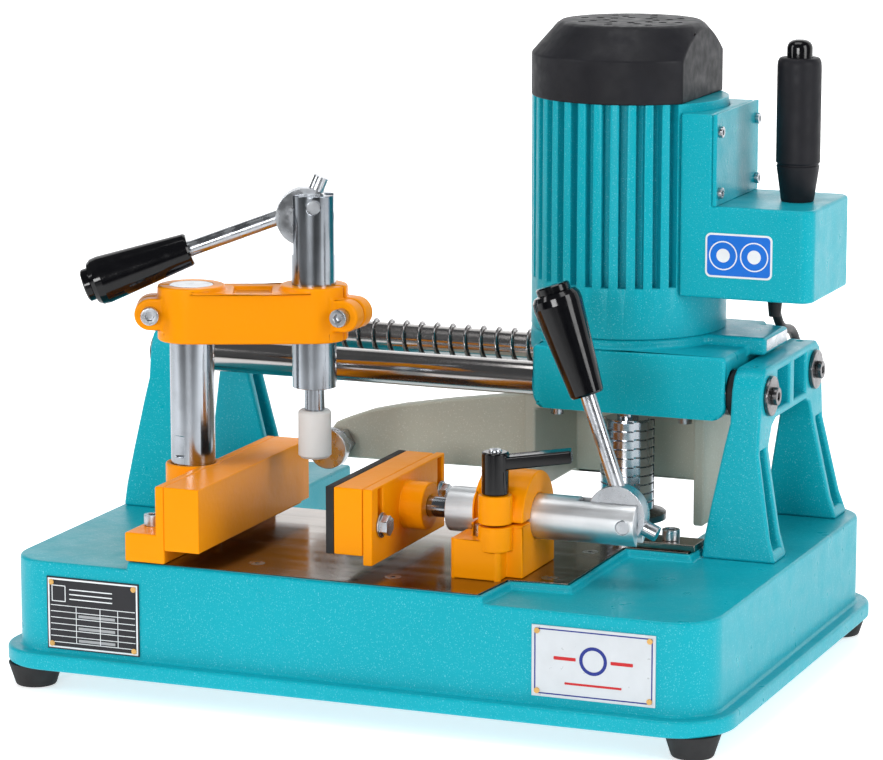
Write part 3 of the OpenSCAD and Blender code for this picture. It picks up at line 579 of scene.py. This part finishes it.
for name, node in frame["nodes"].items():
    node.data.materials.clear()
    node.data.materials.append(finish[slot_of[name]])
bpy.data.objects["guide_bars_shape"].data.materials[0] = bar_steel
# the horizontal tube gets the lighter copy of the steel, as painted light
bpy.data.objects["horizontal_tube_shape"].data.materials[0] = painted_lit_tube_steel

mains_cord()  # needs the plug's piece


# ---------- labels ----------


def flat_piece(name, material, body, shapes):
    """Thin shapes facing front as one piece; each is (outline or (outer, inner), y, thickness)."""
    bm = bmesh.new()
    for shape, y, thick in shapes:
        place = facing_front(0, y, 0)
        if isinstance(shape[0][0], tuple):
            ring_outline(bm, shape[0], shape[1], thick, place)
        else:
            outline_slab(bm, shape, thick, place)
    return piece(name, mesh_of(bm, name), material, body)


def circle(x, z, r, steps=32):
    return [(x + r * cos(2 * pi * i / steps), z + r * sin(2 * pi * i / steps)) for i in range(steps)]


def framed(x0, x1, z0, z1, width, r=0.4):
    """A thin frame's two outlines."""
    return (
        round_outline(x0, x1, z0, z1, r),
        round_outline(x0 + width, x1 - width, z0 + width, z1 - width, max(r - width, 0.05)),
    )


def rating_plate_print():
    """A pale border and an empty grid of ruled cells."""
    y, thick = -1, 0.12
    shapes = [(framed(35, 106, 33, 84, 1.2), y, thick)]
    rows = [37, 41.5, 46, 50.5, 55, 59.5, 64]
    shapes += [(round_outline(37, 104, z, z + 0.5, 0.1, 1), y, thick) for z in rows]
    for x in (57, 76, 90):
        shapes.append((round_outline(x, x + 0.5, 37, 64.5, 0.1, 1), y, thick))
    shapes += [(round_outline(52, 86, z, z + 0.8, 0.1, 1), y, thick) for z in (69, 72.5, 76)]
    shapes += [(framed(38, 49, 67, 79, 0.6), y, thick)]
    flat_piece("rating_print", label_pale, "base", shapes)
    shapes = [(round_outline(59, 88, z + 1.3, z + 3.3, 0.1, 1), y, 0.08) for z in rows[:5:2]]
    flat_piece("rating_cells", label_grey, "base", shapes)


def name_plate_print():
    """A navy border and a plain mark: a ring between two bars, over a third bar."""
    y, thick = -1, 0.12
    flat_piece("name_border", label_navy, "base", [
        (framed(406, 491, 37, 83, 0.9, 1.5), y, thick),
        ((circle(448.5, 63, 10), circle(448.5, 63, 7.6)), y, thick),
    ])
    flat_piece("name_bars", label_red, "base", [
        (round_outline(420, 436, 61.8, 64.2, 0.5), y, thick),
        (round_outline(461, 477, 61.8, 64.2, 0.5), y, thick),
        (round_outline(428, 469, 45, 46.6, 0.5), y, thick),
    ])


def box_label():
    """A blue label with a pale border and two pale rings, each round a plain disc."""
    y = 228
    flat_piece("box_label_edge", label_pale, "carriage", [(round_outline(450, 500, 292, 324, 4), y, 0.35)])
    flat_piece("box_label_field", label_blue, "carriage", [
        (round_outline(451.4, 498.6, 293.4, 322.6, 3), y - 0.35, 0.1)
    ])
    shapes = []
    for x in (463.4, 486.6):
        shapes.append(((circle(x, 308, 10.6), circle(x, 308, 9.7)), y - 0.45, 0.1))
        shapes.append((circle(x, 308, 5), y - 0.45, 0.1))
    flat_piece("box_label_rings", label_pale, "carriage", shapes)


rating_plate_print()
name_plate_print()
box_label()


# ---------- turned and small parts ----------


GRIP_FOOT = (503, 277.5, 343)


def turned(name, profile, place, material, body, node=None, steps=48):
    """A turned piece from (radius, height) points in millimetres."""
    bm = bmesh.new()
    lathe(bm, profile, steps, place)
    bmesh.ops.remove_doubles(bm, verts=bm.verts, dist=0.001 * MM)
    return piece(name, mesh_of(bm, name), material, body, node)


turned(
    "handle_grip_shape",
    [
        (8, 0), (11.5, 0), (12, 1), (15.6, 26), (15, 26.5), (15, 27.5), (16, 28.5),
        (16, 98), (15.7, 101), (14.6, 103.4), (13.6, 104), (9.6, 104), (9.6, 92), (8, 92), (8, 0),
    ],
    upright(*GRIP_FOOT), finish["black_matte"], "carriage", "handle_grip",
)
turned(
    "start_button_shape",
    [(0, 97), (9.3, 97), (9.3, 111), (8.9, 113), (7.8, 114.8), (5.6, 116.2), (3, 116.9), (0, 117)],
    upright(*GRIP_FOOT), finish["black_gloss"], "button", "start_button",
)
turned(
    "lever_hub_screw",
    [(0, 190.5), (4.6, 190.5), (4.6, 191.6), (4.1, 192.4), (2.2, 192.4), (2.2, 191.2), (0, 191.2)],
    upright(357, 51.5, 0), finish["zinc_steel"], "lock_lever", steps=32,
)


def plate_end_face():
    """The bare machined end of the carriage's painted plate."""
    bm = bmesh.new()
    outline_slab(bm, round_outline(-10.2, -1.8, 3, 53, 1), 0.12, along_x(488, 254, 233))
    piece("plate_end_face", mesh_of(bm, "plate_end_face"), finish["zinc_steel"], "carriage")


plate_end_face()


# ---------- studio ----------


def floor():
    """A pale, slightly lit floor that curves up into a backdrop; far in front it is painted dark, a painted
    shade for the chrome to reflect.
    """
    bm = bmesh.new()
    bend, back, half = 1.6, 3.0, 9.0
    profile = [(-9.0, 0.0), (back, 0.0)]
    profile += [(back + bend * sin(pi / 2 * i / 12), bend * (1 - cos(pi / 2 * i / 12))) for i in range(1, 13)]
    profile += [(back + bend, 7.0)]
    rows = [[bm.verts.new((x, y, z - 0.0004)) for x in (-half, half)] for y, z in profile]
    for low, high in zip(rows, rows[1:]):
        bm.faces.new((low[0], low[1], high[1], high[0]))
    mesh = mesh_of(bm, "floor", 60)
    made = bpy.data.objects.new("floor", mesh)
    bpy.context.scene.collection.objects.link(made)
    p = Paint("floor", (0.88, 0.885, 0.89), 0.55)
    split = p.nodes.new("ShaderNodeSeparateXYZ")
    p.links.new(p.place, split.inputs["Vector"])
    # painted shade: the floor far in front is tinted near black, standing in for the unlit room, so the
    # chrome shows a dark reflection
    painted_shade_front = p.span(split.outputs["Y"], -0.75, -1.35)
    p.tint(painted_shade_front, (0.05, 0.05, 0.05))
    p.shader.inputs["Emission Color"].default_value = (1, 1, 1, 1)
    p.links.new(p.span(split.outputs["Y"], -1.25, -0.70, 0, 0.62), p.shader.inputs["Emission Strength"])
    mesh.materials.append(p.material)


def softbox(name, location, target, width, height, watts):
    light = bpy.data.lights.new(name, "AREA")
    light.shape = "RECTANGLE"
    light.size = width
    light.size_y = height
    light.energy = watts
    made = bpy.data.objects.new(name, light)
    made.location = location
    made.rotation_euler = (Vector(target) - Vector(location)).to_track_quat("-Z", "Y").to_euler()
    bpy.context.scene.collection.objects.link(made)


def studio():
    floor()
    world = bpy.data.worlds.new("studio")
    world.use_nodes = True
    world.node_tree.nodes["Background"].inputs["Color"].default_value = (0.92, 0.96, 1, 1)
    world.node_tree.nodes["Background"].inputs["Strength"].default_value = 0.11
    bpy.context.scene.world = world
    softbox("front", (0.3, -4.2, 1.0), (0, 0, 0.2), 1.6, 0.8, 68)
    softbox("left", (-1.3, -0.9, 0.9), (0, 0, 0.2), 0.5, 1.1, 9)
    softbox("right", (1.6, -0.5, 0.9), (0, 0, 0.2), 0.6, 1.1, 13)
    softbox("top", (0, -0.1, 1.7), (0, 0, 0.1), 1.0, 0.7, 8)
    softbox("backdrop", (0, 1.8, 2.6), (0, 4.4, 1.0), 3.2, 3.2, 90)
    bpy.context.scene.view_settings.view_transform = "Standard"


studio()
